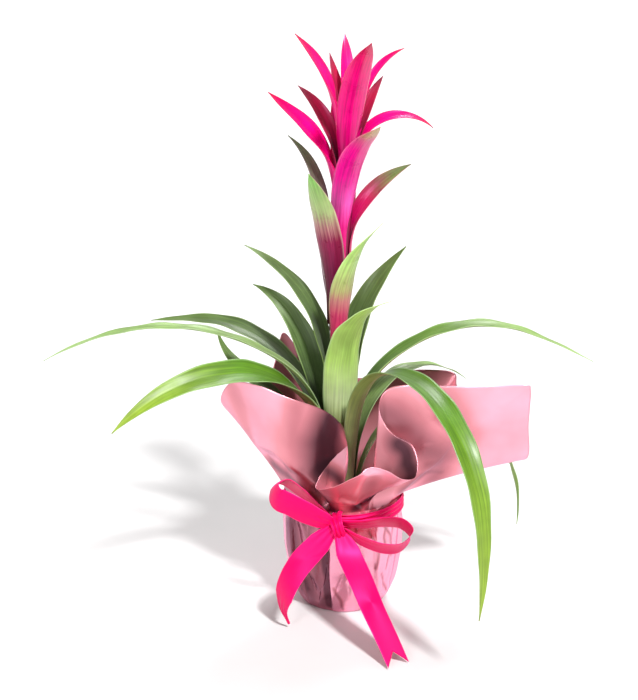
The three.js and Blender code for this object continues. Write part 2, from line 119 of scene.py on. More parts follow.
# %% The kinds of node that come back often
def ramp(tree, place, stops):
    """A colour between stops, given as places from 0 to 1, each with an sRGB code."""
    made = tree.nodes.new("ShaderNodeValToRGB")
    elements = made.color_ramp.elements
    while len(elements) < len(stops):
        elements.new(0.5)
    for element, (at, code) in zip(elements, stops.items()):
        element.position, element.color = at, colour(code)
    connect(tree, made, {0: place})
    return made.outputs[0]


def speckle(tree, at, scale, detail=2.0, distortion=0.0):
    """Soft random blotches, about scale of them in each unit of the pattern's space."""
    return add(tree, "TexNoise", {"Vector": at, "Scale": scale, "Detail": detail,
                                  "Distortion": distortion})


def maths(tree, operation, *values):
    return add(tree, "Math", dict(enumerate(values)), operation=operation)


def ranged(tree, value, start, end, low, high, **settings):
    """Goes from low to high while the value goes from start to end."""
    return add(tree, "MapRange", {0: value, 1: start, 2: end, 3: low, 4: high}, **settings)


def blend(tree, share, first, second):
    return add(tree, "Mix", {0: share, 6: first, 7: second}, out=2, data_type="RGBA")


def relief(tree, height, depth, strength=1.0, **under):
    """Bumps, depth in metres. Normal: the relief that they lie on, if there is one."""
    return add(tree, "Bump", {"Height": height, "Distance": depth, "Strength": strength, **under})


def set_finish(tree, shader, **values):
    """The shader's own sockets, as constants or links; an underscore stands for a space."""
    connect(tree, shader, {key.replace("_", " "): value for key, value in values.items()})


# %% [markdown]
# ## Light and floor
# The photograph has a bright white ground with a soft shadow to the back left and a fainter one to
# the back right. So a key light stands high at the front right, a lower and weaker one at the front
# left fills the faces of the bracts, and a third behind the plant gives the leaves a light rim. All
# are suns, because parallel light keeps the whole floor evenly white. How wide a sun looks sets how
# soft the edges of its shadows are. The sky is plain white, brightest at the horizon, which lights
# the sides of the leaves.

# %% Studio
def soft_sun(name, to_light, strength, width):
    """Parallel light over the whole floor. width: how wide the light looks, in degrees."""
    lamp = bpy.data.lights.new(name, "SUN")
    lamp.energy, lamp.angle = strength, math.radians(width)
    holder = in_scene(name, lamp)
    holder.rotation_euler = Vector(to_light).to_track_quat("Z", "Y").to_euler()


soft_sun("key", to_light=(0.43, -0.80, 0.98), strength=4.4, width=7)
soft_sun("fill", to_light=(-0.40, -0.88, 0.4), strength=1.5, width=20)
soft_sun("back", to_light=(0.2, 0.6, 0.9), strength=2.1, width=24)

world = bpy.data.worlds.new("studio")
world.use_nodes = True
tree = world.node_tree
height = add(tree, "SeparateXYZ", {0: add(tree, "TexCoord", out="Generated")}, out="Z")
connect(tree, tree.nodes["Background"], {"Strength": ranged(tree, height, 0.0, 0.7, 0.8, 0.25),
                                         "Color": (1, 1, 1, 1)})
scene.world = world
scene.view_settings.view_transform = "Standard"

# %% Floor
floor_paint, tree, shader = new_material("matt_white_card")
tooth = speckle(tree, add(tree, "TexCoord", out="Object"), 6.0, detail=4.0)
set_finish(tree, shader, Base_Color=ramp(tree, tooth, {0.3: "#cdcccc", 0.7: "#d3d2d2"}),
           Roughness=0.9)
FLOOR_HALF = 6.0  # metres from its middle to an edge
FLOOR_DROP = 0.4 * MM  # so that it shares no plane with what stands on it
floor_mesh = bpy.data.meshes.new("floor")
floor_mesh.from_pydata([(x * FLOOR_HALF, y * FLOOR_HALF, -FLOOR_DROP) for x, y in
                        ((-1, -1), (1, -1), (1, 1), (-1, 1))], [], [(0, 1, 2, 3)])
floor_mesh.materials.append(floor_paint)
floor = in_scene("floor", floor_mesh)

# %% [markdown]
# ## Thin bodies from grids of points
# Leaves, bracts, the wrap and the ribbon are all thin. Each could be a plane with a Solidify
# modifier, but then the rims, the thickness along a leaf and the pattern coordinates would be hard
# to steer. Here a grid of points is pushed half a thickness each way and its rim is closed, and
# every point keeps two notes for its material: its share of the way across and along, and its real
# distance from the middle line and from the base, in metres.

# %% Closed sheet from a grid
def unit(vectors):
    return vectors / np.maximum(np.linalg.norm(vectors, axis=-1, keepdims=True), 1e-9)


def steps_along(grid, axis, loop=False):
    if loop:
        return np.roll(grid, -1, axis) - np.roll(grid, 1, axis)
    return np.gradient(grid, axis=axis)


def sheet_normals(grid, loop):
    return unit(np.cross(steps_along(grid, 0), steps_along(grid, 1, loop)))


def ring_points(turn, radius, z, x=0.0):
    """Points round an upright axis at x, with their angles, radii and heights."""
    return np.stack([x + radius * np.cos(turn), radius * np.sin(turn), 0 * turn + z], -1)


def quads(a, b):
    """Faces between two matching lines or grids of vertex numbers."""
    return np.stack([a[:-1], b[:-1], b[1:], a[1:]], -1).reshape(-1, 4).tolist()


def link_piece(name, points, faces, material, notes=None):
    """A mesh object in metres from points in millimetres, smooth, riding on the plant's body."""
    mesh = bpy.data.meshes.new(name)
    mesh.from_pydata((np.asarray(points) * MM).tolist(), [], faces)
    for label, values in (notes or {}).items():
        layer = mesh.attributes.new(label, "FLOAT_VECTOR", "POINT")
        layer.data.foreach_set("vector", np.asarray(values, np.float32).ravel())
    mesh.shade_smooth()
    mesh.materials.append(material)
    piece = in_scene(name, mesh)
    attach(piece, "root")
    return piece


def sheet_piece(name, grid, thickness, material, loop=False):
    """Rows run along the sheet and columns across it. loop: the last column meets the first."""
    rows, columns = grid.shape[:2]
    normals = sheet_normals(grid, loop)
    thickness = np.broadcast_to(thickness, (rows, columns))[..., None]
    points = np.concatenate([(grid + side * thickness / 2 * normals).reshape(-1, 3)
                             for side in (1, -1)])
    width_steps = np.linalg.norm(np.diff(grid, axis=1), axis=-1)
    from_left = np.concatenate([np.zeros((rows, 1)), np.cumsum(width_steps, axis=1)], axis=1)
    from_middle = from_left - from_left[:, [-1]] / 2
    length_steps = np.linalg.norm(np.diff(grid[:, columns // 2], axis=0), axis=-1)
    from_base = np.concatenate([[0], np.cumsum(length_steps)])[:, None] + 0 * from_left
    share = np.stack(np.meshgrid(np.linspace(-1, 1, columns), np.linspace(0, 1, rows)), -1)
    notes = {}
    for label, plane in (("share", share), ("place", np.stack([from_middle, from_base], -1) * MM)):
        flat = plane.reshape(-1, 2)
        notes[label] = np.concatenate([np.column_stack([flat, np.full(len(flat), side)])
                                       for side in (1.0, 0.0)])
    index = np.arange(2 * rows * columns).reshape(2, rows, columns)
    if loop:
        index = np.concatenate([index, index[:, :, :1]], axis=2)
    top, under = index
    upper_side = np.stack([top[:-1, :-1], top[1:, :-1], top[1:, 1:], top[:-1, 1:]], -1)
    faces = upper_side.reshape(-1, 4).tolist() + quads(under[:, :-1], under[:, 1:])
    if not loop:
        faces += quads(top[:, 0], under[:, 0]) + quads(under[:, -1], top[:, -1])
    faces += quads(under[0], top[0]) + quads(top[-1], under[-1])
    return link_piece(name, points, faces, material, notes)


# %% [markdown]
# ## The shape of a leaf
# A bromeliad's strap leaf hugs the plant at its base like a gutter, rises, then arches over under
# its own weight, opening and sometimes rolling as it goes. So a leaf is described as a grower would
# see it: where it is seated, its compass angle, how steep it is at even steps from base to tip, how
# much it rolls, and how cupped it is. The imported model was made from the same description, and this
# finer version follows it with four times the points, a channel along the rib and a wavy margin.

# %% Blades
def smoothstep(x, low, high):
    t = np.clip((x - low) / (high - low), 0, 1)
    return t * t * (3 - 2 * t)


def mixed(a, b, t):
    return a + (b - a) * t


def blade(at, azimuth, length, width, skin, pitch, **more):
    """at: a leaf's ring, or a bract's height and its distance from the stem's middle.
    pitch: steepness at even steps from base to tip. more: cup, roll, drift or foot."""
    return dict(at=at, azimuth=azimuth, length=length, width=width, skin=skin, pitch=pitch, **more)


def heading_frames(blade, t):
    """Forward, across and upper directions of a blade at the shares t of its length."""
    pitch = np.radians(np.interp(t, np.linspace(0, 1, len(blade["pitch"])), blade["pitch"]))
    heading = np.radians(blade["azimuth"] + blade.get("drift", 0) * t * t)
    roll = np.radians(blade.get("roll", 0)) * smoothstep(t, 0.3, 0.7)
    forward = np.stack([np.cos(pitch) * np.cos(heading), np.cos(pitch) * np.sin(heading),
                        np.sin(pitch)], -1)
    level = np.stack([-np.sin(heading), np.cos(heading), 0 * heading], -1)
    across = level * np.cos(roll)[:, None] + np.cross(forward, level) * np.sin(roll)[:, None]
    return forward, across, np.cross(forward, across)


WIDEST = 0.48  # where along its length a blade is widest


def blade_width(t, base):
    rising = mixed(base, 1, smoothstep(t, 0, WIDEST))
    falling = 1 - (np.clip(t - WIDEST, 0, None) / (1 - WIDEST)) ** 2.3
    return np.where(t < WIDEST, rising, np.maximum(falling, 0.03))


STATIONS = 60
COLUMNS = 16
SHARES = np.linspace(0, 1, STATIONS + 1)  # of a blade's length
SIDES = np.linspace(-1, 1, COLUMNS + 1)  # from its left margin to its right one
CHANNEL = {"depth": 0.45, "share": 0.1}  # groove over the rib, in mm and as a share of the width
WAVE = {"height": 0.9, "period": 46}  # the margin's slow wave, in mm


def blade_grid(blade, seat, base, cup, phase, wave=1.0):
    """Points of a blade in mm. seat: x, radius and height of the foot of its rib. base: width of
    its foot as a share of the full width. phase: where along a wave its margin starts."""
    count = STATIONS * 4
    middles = (np.arange(count) + 0.5) / count
    start = math.radians(blade["azimuth"])
    x, radius, z = seat
    foot = np.array([x + radius * math.cos(start), radius * math.sin(start), z])
    steps = heading_frames(blade, middles)[0] * blade["length"] / count
    rib = (foot + np.concatenate([np.zeros((1, 3)), np.cumsum(steps, axis=0)]))[::4]
    t, s = SHARES, SIDES
    _, across, upper = heading_frames(blade, t)
    half = blade["width"] * blade_width(t, base) / 2
    bend = mixed(radius, blade["width"] / 2 / cup, smoothstep(t, 0.15, 0.55))
    angle = (half / bend)[:, None] * s
    lift = bend[:, None] * (1 - np.cos(angle))
    lift -= CHANNEL["depth"] * np.exp(-(s / CHANNEL["share"]) ** 2) * (half / half.max())[:, None]
    slow = 2 * math.pi * t * blade["length"] / WAVE["period"] + phase
    ripple = np.sin(slow)[:, None] * np.clip(s, 0, 1) ** 3
    ripple += np.sin(slow + 2.1)[:, None] * np.clip(-s, 0, 1) ** 3
    lift += wave * WAVE["height"] * ripple * (smoothstep(t, 0.35, 0.6) * half / half.max())[:, None]
    side = bend[:, None] * np.sin(angle)
    return rib[:, None] + across[:, None] * side[..., None] + upper[:, None] * lift[..., None]


def blade_thickness(rib, margin):
    return mixed(mixed(rib, margin, np.abs(SIDES) ** 1.5), margin, SHARES[:, None])


# %% [markdown]
# ## The skin of leaves and bracts
# Both are the same tissue: a waxy cuticle over parallel veins. The wax gives a broad soft highlight,
# the veins a fine lengthwise streak, and the thin margin lets light through and looks paler. Colour
# runs along the blade, green in leaves and from dark wine through hot pink in bracts, and its
# borders are drawn out along the veins, so one function makes all of them from colour stops. Real
# veins are about 0.6 mm apart, too fine for this picture, so they are drawn at 1.6 mm.

# %% Waxy blades
VEIN_SPACING = 1.6 * MM
VEIN_DEPTH = 0.12 * MM
STREAK_LENGTH = 70 * MM
BLOTCH = 22 * MM
RAGGED = 0.16  # how far a border between two colours is drawn out, as a share of the length


def waxy_blade(name, upper, under, margin, roughness=0.42, coat=0.1, brightness=(0.58, 0.8),
               glow=(0.6, 1.0, 0.3), shine="#ffffff"):
    """upper, under: colour stops from the base to the tip of each face. margin: the rim's colour.
    brightness: how much of the colour is left in a dark and in a light vein.
    glow: how far red, green and blue light spread in the tissue. shine: the tint of its gloss."""
    made, tree, shader = new_material(name)
    share = add(tree, "Attribute", out="Vector", attribute_name="share")
    place = add(tree, "Attribute", out="Vector", attribute_name="place")
    axes = add(tree, "SeparateXYZ", {0: share}, out=None)
    veins = add(tree, "VectorMath", {0: place, 1: (1 / VEIN_SPACING, 1 / STREAK_LENGTH, 3.0)},
                operation="MULTIPLY")
    streak = speckle(tree, veins, 1.0, detail=3.0)
    blotch = speckle(tree, place, 1 / BLOTCH)
    drawn = maths(tree, "MULTIPLY_ADD", streak, RAGGED, axes["Y"])
    along = maths(tree, "SUBTRACT", drawn, RAGGED / 2)
    face = blend(tree, axes["Z"], ramp(tree, along, under), ramp(tree, along, upper))
    rim = ranged(tree, maths(tree, "ABSOLUTE", axes["X"]), 0.86, 1.0, 0.0, 0.55,
                 interpolation_type="SMOOTHSTEP")
    edged = blend(tree, rim, face, colour(margin))
    light = maths(tree, "MULTIPLY", ranged(tree, streak, 0.3, 0.7, *brightness),
                  ranged(tree, blotch, 0.3, 0.7, 0.9, 1.1))
    shaded = add(tree, "VectorMath", {0: edged, "Scale": light}, operation="SCALE")
    gloss = ranged(tree, blotch, 0.3, 0.7, roughness - 0.05, roughness + 0.06)
    set_finish(tree, shader, Base_Color=shaded, Normal=relief(tree, streak, VEIN_DEPTH),
               Roughness=gloss, IOR=1.45, Specular_Tint=colour(shine), Coat_Weight=coat,
               Coat_Roughness=0.28, Coat_IOR=1.4, Subsurface_Weight=0.12,
               Subsurface_Scale=1.5 * MM, Subsurface_Radius=glow)
    return made


# The green skins are partly lit and shaded copies of one tissue, partly the real paler under face. The
# darkest skin, with the lowest brightness, paints shade on leaves at the back and on upper faces
# turned from the light; the bright one paints upper faces lit from above; the shaded one is dark low
# on the blade and lighter to its tip, and the frosted one dark at the foot of its under face, both
# painted shade near the heart of the plant.
LEAF_COLOURS = {  # stops of the upper and of the under face, the margin's colour, and brightness
    "shaded_deep": ({0: "#a8b46c", 0.2: "#6c8050", 0.55: "#58703f", 1: "#7c9c50"},
             {0: "#c8d49a", 0.3: "#8ca460", 1: "#7ca448"}, "#b4d678", (0.36, 0.58)),
    "shaded": ({0: "#a8b46c", 0.3: "#506c34", 0.6: "#709838", 1: "#b8dc80"},
               {0: "#c8d49a", 0.3: "#a0b464", 1: "#a8d05c"}, "#c4e8a0", (0.47, 0.68)),
    "bright": ({0: "#acc070", 0.3: "#587f24", 0.6: "#68a010", 1: "#b4d43c"},
               {0: "#ccd49c", 0.3: "#a4b45c", 1: "#a0c83c"}, "#c8f0a8", (0.35, 0.56)),
    "pale": ({0: "#a8b47c", 0.35: "#8ca464", 0.7: "#98c060", 1: "#c0e494"},
             {0: "#98a468", 0.22: "#b4c888", 0.5: "#a8d064", 1: "#8cc43c"}, "#d4f0b8",
             (0.38, 0.63)),
    "frosted": ({0: "#a0ac70", 0.4: "#94b05c", 1: "#b8dc74"},
                {0: "#7c9048", 0.28: "#94a860", 0.42: "#b0c08c", 0.58: "#a8cc64",
                 1: "#bce070"}, "#d0ecb0", (0.66, 0.96)),
}
LEAF_SKINS = {tone: waxy_blade(f"strap_leaf_{tone}_green", *look, brightness=brightness)
              for tone, (*look, brightness) in LEAF_COLOURS.items()}

# %% [markdown]
# ## Leaves
# Fourteen leaves stand in a spiral on a short crown, outer ones lower and further out. Each is its
# own piece, as on the plant. The steepness lists were read off the photograph leaf by leaf.

# %% Where the leaves are seated
PLANT_X = -4.0
FIRST_RING = {"radius": 10.5, "height": 112}
RING_STEP = {"radius": 1.7, "height": 2.2}
SHEATH = {"innermost": 17, "ring": 1.5}  # width of a leaf's base

LEAVES = {
    "leaf_left_upper": blade(0, 167, 295, 25, "shaded_deep", [90, 89, 88, 75, 46, 22], roll=-25),
    "leaf_right_upper": blade(0, 40, 276, 32, "shaded_deep", [90, 90, 90, 79, 58, 46], cup=0.65, roll=40,
                              drift=-42),
    "leaf_front_upper": blade(1, -90, 277, 37, "frosted", [90, 86, 82, 69, 42, 21], drift=50),
    "leaf_back_upper": blade(1, 89, 300, 21, "shaded_deep", [90, 87, 62, 28, -4, -28], cup=0.8),
    "leaf_left_wide": blade(2, 157, 250, 29, "shaded_deep", [90, 86, 80, 74, 53, 12], cup=0.65, roll=-45),
    "leaf_right_long": blade(2, 7, 386, 28, "shaded", [90, 87, 43, 11, -21, -30], cup=0.6),
    "leaf_right_low": blade(3, 40, 257, 22, "pale", [90, 82, 52, 10, -19, -38]),
    "leaf_front_drooping": blade(3, -57, 496, 28, "bright", [90, 77, 13, -36, -80, -100],
                                 foot=0.55),
    "leaf_left_long": blade(4, 191, 418, 22, "pale", [90, 86, 38, 15, -8, -29]),
    "leaf_right_drooping": blade(4, 16, 335, 20, "pale", [90, 60, 0, -40, -70, -96], foot=0.5),
    "leaf_left_back": blade(5, 147, 327, 24, "shaded_deep", [90, 85, 52, 24, -3, -12], cup=0.6, drift=15,
                            roll=-20),
    "leaf_left_front": blade(6, 214, 359, 30, "bright", [90, 87, 43, 9, -17, -42], cup=0.6,
                             drift=-9, roll=-45),
    "leaf_back_low": blade(7, 108, 245, 24, "bright", [90, 88, 64, 28, -10, -30]),
    "leaf_left_turned": blade(7, 172, 224, 19, "shaded_deep", [90, 78, 61, 42, 41, 79], roll=-40),
}

for number, (name, leaf) in enumerate(LEAVES.items()):
    ring = leaf["at"]
    seat = (PLANT_X, FIRST_RING["radius"] + ring * RING_STEP["radius"],
            FIRST_RING["height"] - ring * RING_STEP["height"])
    sheath = SHEATH["innermost"] + ring * SHEATH["ring"]
    base = leaf.get("foot", min(sheath / leaf["width"], 0.95))
    grid = blade_grid(leaf, seat, base, leaf.get("cup", 0.5), phase=number * 1.9)
    piece = sheet_piece(name, grid, blade_thickness(1.3, 0.6), LEAF_SKINS[leaf["skin"]])
    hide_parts(name)
print("leaves:", len(LEAVES), "each with", (STATIONS + 1) * (COLUMNS + 1) * 2, "points")

# %% [markdown]
# ## Flower spike
# The upright spike is a stem clothed in bracts, which are leaves that turn colour instead of making
# much food. The lowest ones still have green tips. Every bract wraps the stem at its foot and leans
# away at its tip. The stem itself shows only in slits, so it is a plain tapering tube that leans as
# the photograph shows, with the wine tint of the sheaths.

# %% Stem
STEM = [(112, -4, 8), (160, -5, 6.8), (220, -6.2, 6.8), (300, -6.3, 7), (350, -4.5, 8),
        (405, -1, 8), (450, 1.5, 7), (495, 4, 5.4), (530, 5.5, 3.2)]  # height, middle x, radius
stem_z, stem_x, stem_r = np.array(STEM, float).T

STEM_SKIN = waxy_blade("bromeliad_stem_skin", margin="#8c6048",
                       upper={0: "#9aa860", 0.4: "#8c6048", 0.6: "#7c1840", 1: "#c4105c"},
                       under={0: "#9aa860", 1: "#7c1840"})


TUBE_SIDES = 32


def tube_piece(name, heights, middles, radii, material):
    """A closed upright tube whose middle line leans to the left and right."""
    turn = np.linspace(0, 2 * math.pi, TUBE_SIDES, endpoint=False)
    rings = [ring_points(turn, r, z, x) for z, x, r in zip(heights, middles, radii)]
    points = np.concatenate(rings)
    index = np.arange(len(points)).reshape(len(rings), TUBE_SIDES)
    index = np.concatenate([index, index[:, :1]], axis=1)
    faces = quads(index[:, :-1], index[:, 1:])
    faces += [index[0, :-1][::-1].tolist(), index[-1, :-1].tolist()]
    around, upper = np.tile(turn, len(rings)), np.ones(len(points))
    share = np.column_stack([0.3 * np.cos(around),
                             np.repeat(np.linspace(0, 1, len(rings)), TUBE_SIDES), upper])
    place = np.column_stack([around * radii[0] * MM, points[:, 2] * MM, upper])
    return link_piece(name, points, faces, material, {"share": share, "place": place})


CROWN = [(62, 9), (66, 14), (90, 14), (94.4, 23.2), (96.6, 22), (99, 20), (101, 18.4), (104, 16.6),
         (106, 14.6), (108.5, 12.8), (111.4, 10.6)]  # height and radius of the root ball and crown
CROWN_INSET = 0.4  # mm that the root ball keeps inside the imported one
STEM_SPAN = (111.6, 533)
TIP = (0.9, 0.6, 0.15)  # the last rings draw in to a point
stem_heights = np.linspace(*STEM_SPAN, 70)
crown_z, crown_r = np.array(CROWN, float).T
all_z = np.concatenate([crown_z, stem_heights])
all_r = np.concatenate([crown_r - CROWN_INSET, np.interp(stem_heights, stem_z, stem_r)])
all_r[-len(TIP):] *= TIP
stem = tube_piece("flower_stem", all_z, np.interp(all_z, stem_z, stem_x), all_r, STEM_SKIN)
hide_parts("flower_spike")
print("stem: from", all_z[0], "to", all_z[-1], "mm")

# %% [markdown]
# ## Bract colours
# A bract is dyed from the stem outwards, so its stops run from its foot to its tip. Most go from
# wine to hot pink. Those low on the spike end in green, and the ones behind are a duller, darker
# red. On the low front bract a paler band a third of the way up is a painted highlight. Both faces
# of a bract have the same stops.

# %% Bract skins
BRACT_COLOURS = {  # stops from foot to tip, and the margin's colour
    "hot_pink": ({0: "#4c0828", 0.2: "#9c0450", 0.42: "#f00484", 0.7: "#f80480",
                  0.9: "#e80460", 1: "#b42848"}, "#e01048"),
    "dull_red": ({0: "#4c0c28", 0.4: "#8c1440", 0.8: "#b82048", 1: "#8c3c4c"}, "#c03c60"),
    # The paler pink band a third of the way up is a painted highlight
    "highlit_pink_tipped_yellow": ({0: "#d00458", 0.22: "#f01088", 0.34: "#ff5cc0", 0.48: "#ff14a0",
                            0.7: "#ff0498", 0.8: "#e0588c", 0.86: "#d09c78",
                            1: "#b8b068"}, "#ff3c8c"),
    "wine_tipped_green": ({0: "#3c0418", 0.3: "#600a30", 0.5: "#901c48", 0.6: "#b07c78",
                           0.7: "#acc080", 1: "#88cc64"}, "#c8a898"),
    "green_footed_red": ({0: "#b01848", 0.3: "#cc3c68", 0.4: "#cc8080", 0.47: "#b8b478",
                          0.68: "#b8e080", 1: "#98d058"}, "#d4f0a8"),
    "olive_footed_red": ({0: "#a00848", 0.45: "#e0086c", 0.62: "#c02058", 0.74: "#88504c",
                          0.86: "#6c7c48", 1: "#5c7044"}, "#c06070"),
    "dark_green_purple": ({0: "#5c1434", 0.4: "#642844", 0.65: "#6c5058", 1: "#64885c"},
                          "#7c5c68"),
}
BRACT_SKINS = {key: waxy_blade("waxy_bract_" + key, stops, stops, margin, roughness=0.30, coat=0.15,
                               brightness=(0.58, 1.0), glow=(1.0, 0.2, 0.5), shine="#ff94d8")
               for key, (stops, margin) in BRACT_COLOURS.items()}

# %% [markdown]
# ## Bracts
# The pink ones grow out of the stem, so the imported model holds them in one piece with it. Here each
# is a piece of its own, which lets it have its own colours.

# %% Shape each bract
PINK_BRACTS = {
    "bract_pink_low_front": blade((350, 7.5), -72, 216, 30, "highlit_pink_tipped_yellow",
                                  [88, 87, 68, 42, 29, 24]),
    "bract_pink_long_left": blade((388, 7.5), 192, 165, 24, "hot_pink", [88, 89, 75, 55, 44, 40],
                                  roll=-45),
    "bract_pink_arched_right": blade((405, 7.5), 8, 160, 18, "hot_pink", [88, 91, 76, 38, -3, -44],
                                     roll=25),
    "bract_red_left": blade((425, 7), 150, 121, 18, "dull_red", [88, 84, 77, 63, 47, 30], roll=-30),
    "bract_red_right": blade((435, 7), 40, 115, 16, "dull_red", [88, 82, 74, 66, 56, 45], roll=30),
    "bract_pink_top_front": blade((425, 6.5), -78, 205, 30, "hot_pink", [88, 79, 65, 49, 37, 27]),
    "bract_pink_top_left": blade((450, 6.5), 200, 147, 24, "hot_pink", [88, 85, 79, 69, 57, 46],
                                 roll=-40),
    "bract_red_behind": blade((470, 6), 130, 96, 14, "dull_red", [88, 83, 78, 74, 71, 68]),
    "bract_pink_top": blade((495, 5), 100, 89, 15, "hot_pink", [88, 84, 79, 74, 68, 62]),
    "bract_pink_slim_right": blade((475, 6), 20, 112, 13, "hot_pink", [88, 78, 70, 62, 42, 16],
                                   roll=20),
    "bract_pink_back": blade((395, 7.5), 96, 150, 24, "hot_pink", [88, 84, 74, 62, 50, 40]),
}
GREEN_BRACTS = {
    "bract_left_dark": blade((290, 8), 168, 205, 20, "dark_green_purple", [90, 78, 88, 90, 68, 37],
                             roll=-35),
    "bract_front_left": blade((298, 10.6), -110, 184, 30, "wine_tipped_green",
                              [88, 80, 72, 63, 55, 46]),
    "bract_right": blade((335, 10.8), 15, 147, 20, "olive_footed_red", [88, 90, 78, 55, 36, 19],
                         roll=45),
    "bract_front_right": blade((262, 8), -86, 172, 26, "green_footed_red", [75, 75, 67, 61, 56, 46],
                               drift=80),
    "bract_back": blade((322, 12.5), 78, 150, 24, "olive_footed_red", [88, 86, 76, 62, 50, 40]),
}

BRACT_BASE = 0.8  # width of the foot as a share of the full width
BRACT_CUP = 0.8
for number, (name, bract) in enumerate({**PINK_BRACTS, **GREEN_BRACTS}.items()):
    height, off = bract["at"]
    seat = (float(np.interp(height, stem_z, stem_x)), off, height)
    grid = blade_grid(bract, seat, BRACT_BASE, BRACT_CUP, phase=number * 2.3, wave=0.4)
    piece = sheet_piece(name, grid, blade_thickness(1.2, 0.6), BRACT_SKINS[bract["skin"]])
    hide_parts("flower_spike" if name in PINK_BRACTS else name)
print("bracts:", len(PINK_BRACTS), "pink and", len(GREEN_BRACTS), "green-tipped")

# %% [markdown]
# ## Smooth curves through chosen points
# The free edge of the wrap and the runs of ribbon were each placed with a few points. A centripetal
# spline passes through them without loops or overshoot, which is why it is used here in place of a
# Bezier curve whose handles would have to be set one by one.

# %% Centripetal spline
def spline(points, places, closed=False):
    """Points of the curve at the given places, counted in knots from the first point."""
    p = np.asarray(points, float)
    before, after = (p[-1], p[:2]) if closed else (2 * p[0] - p[1], 2 * p[-1] - p[-2])
    padded = np.vstack([before, p, after])
    span = np.minimum(np.floor(places).astype(int), len(padded) - 4)
    w = (places - span)[:, None]
    p0, p1, p2, p3 = (padded[span + k] for k in range(4))
    gaps = [np.maximum(np.linalg.norm(b - a, axis=1, keepdims=True), 1e-6) ** 0.5
            for a, b in ((p0, p1), (p1, p2), (p2, p3))]
    slope_1 = ((p1 - p0) / gaps[0] - (p2 - p0) / (gaps[0] + gaps[1]) + (p2 - p1) / gaps[1]) * gaps[1]
    slope_2 = ((p2 - p1) / gaps[1] - (p3 - p1) / (gaps[1] + gaps[2]) + (p3 - p2) / gaps[2]) * gaps[1]
    cubic = 2 * p1 - 2 * p2 + slope_1 + slope_2
    square = -3 * p1 + 3 * p2 - 2 * slope_1 - slope_2
    return ((cubic * w + square) * w + slope_1) * w + p1


# %% [markdown]
# ## The wrap
# Florists' wrap is a soft coloured film, here dusty rose with a satin face. It takes long smooth
# curls where it hangs free and many small gathers where it is tied. A cloth simulation would find
# other folds than the ones in the photograph, so the sheet is built from its own rim: a free edge
# given as a list of points, the neck below the pot's rim, and curved lines between them.

# %% The sheet's free edge
FILM = 0.4  # thickness in mm; real film is thinner still, but its edge has to show
SHEET_EDGE = [
    (-124, -12, 219, 182), (-112, -36, 246, 192), (-83.7, -66, 253.7, 205), (-53.6, -74, 244, 218),
    (-23.9, -64, 230, 232), (-7.9, -46, 212.6, 243), (1, -24, 189.2, 250), (-4, -39, 176, 253),
    (-14, -59, 170.4, 255.5), (-23, -74, 162.5, 258), (-27, -81, 153, 260), (-10, -90, 158, 263),
    (8, -93, 170, 268), (24, -93, 181, 273), (42, -91, 176, 278), (58, -86, 165, 283),
    (70, -77, 163, 287), (73, -67, 175, 290), (67, -57, 190, 292.5), (51, -49, 197, 295),
    (41, -42, 206, 297.5), (35, -36, 223, 300), (42, -32, 238, 304), (62, -37, 245, 310),
    (95, -42, 246, 318), (138, -50, 249, 328), (181.5, -51.5, 250, 337), (183, -49.5, 246, 339),
    (185, -26, 201, 344),
    (187, -2, 154, 350), (165, 30, 150, 362), (132, 52, 168, 376), (118.5, 64, 211, 388),
    (117, 67, 222, 395), (88, 81, 222, 405), (58, 89, 217, 417), (20, 94, 208, 435),
    (-18, 94, 212, 455), (-46, 84, 240, 474), (-64, 75, 264, 486), (-71, 66, 240, 496),
    (-85, 48, 205, 508), (-112, 18, 196, 526)]  # x, y, z and the compass angle at the neck
# How far the sheet bellies out half-way up, at some of the points above: x, y, z
BELLIES = {2: (0, -6, 0), 3: (0, -10, 0), 4: (2, -8, 0), 5: (10, 0, 0), 6: (24, 8, 0),
           7: (24, -6, 0), 8: (14, -10, 0), 9: (4, -4, 0), 18: (3, 0, 0), 20: (-4, 0, 0),
           22: (4, 6, 0), 23: (4, 14, 0), 24: (0, 14, -6), 25: (0, 6, -6)}
COLUMN_STEP = 0.75  # widest angle between two columns, in degrees
FEWEST = 9  # columns between two points of the edge, at least
SHEET_BOTTOM = 0.4  # height of the sheet's middle under the pot
UNDER_POT = [0.0, 20.0, 36.0]  # radii of the rows there
POT_SIDE = [(SHEET_BOTTOM, 43), (7, 48), (30, 54.5), (58, 59.5), (90, 60.5), (103, 58.2),
            (118, 58)]  # height and radius, up to the neck
POT_ROWS = 76
COLLAR_ROWS = 52

neck_at = [row[3] for row in SHEET_EDGE] + [SHEET_EDGE[0][3] + 360]
counts = [max(FEWEST, math.ceil(step / COLUMN_STEP)) for step in np.diff(neck_at)]
knots = np.concatenate([k + np.arange(count) / count for k, count in enumerate(counts)])
columns = len(knots)
free_edge = spline([row[:3] for row in SHEET_EDGE], knots, closed=True)
neck_angles = np.interp(knots, np.arange(len(neck_at)), neck_at)
turn = np.radians(neck_angles)
belly = spline([BELLIES.get(k, (0, 0, 0)) for k in range(len(SHEET_EDGE))], knots, closed=True)

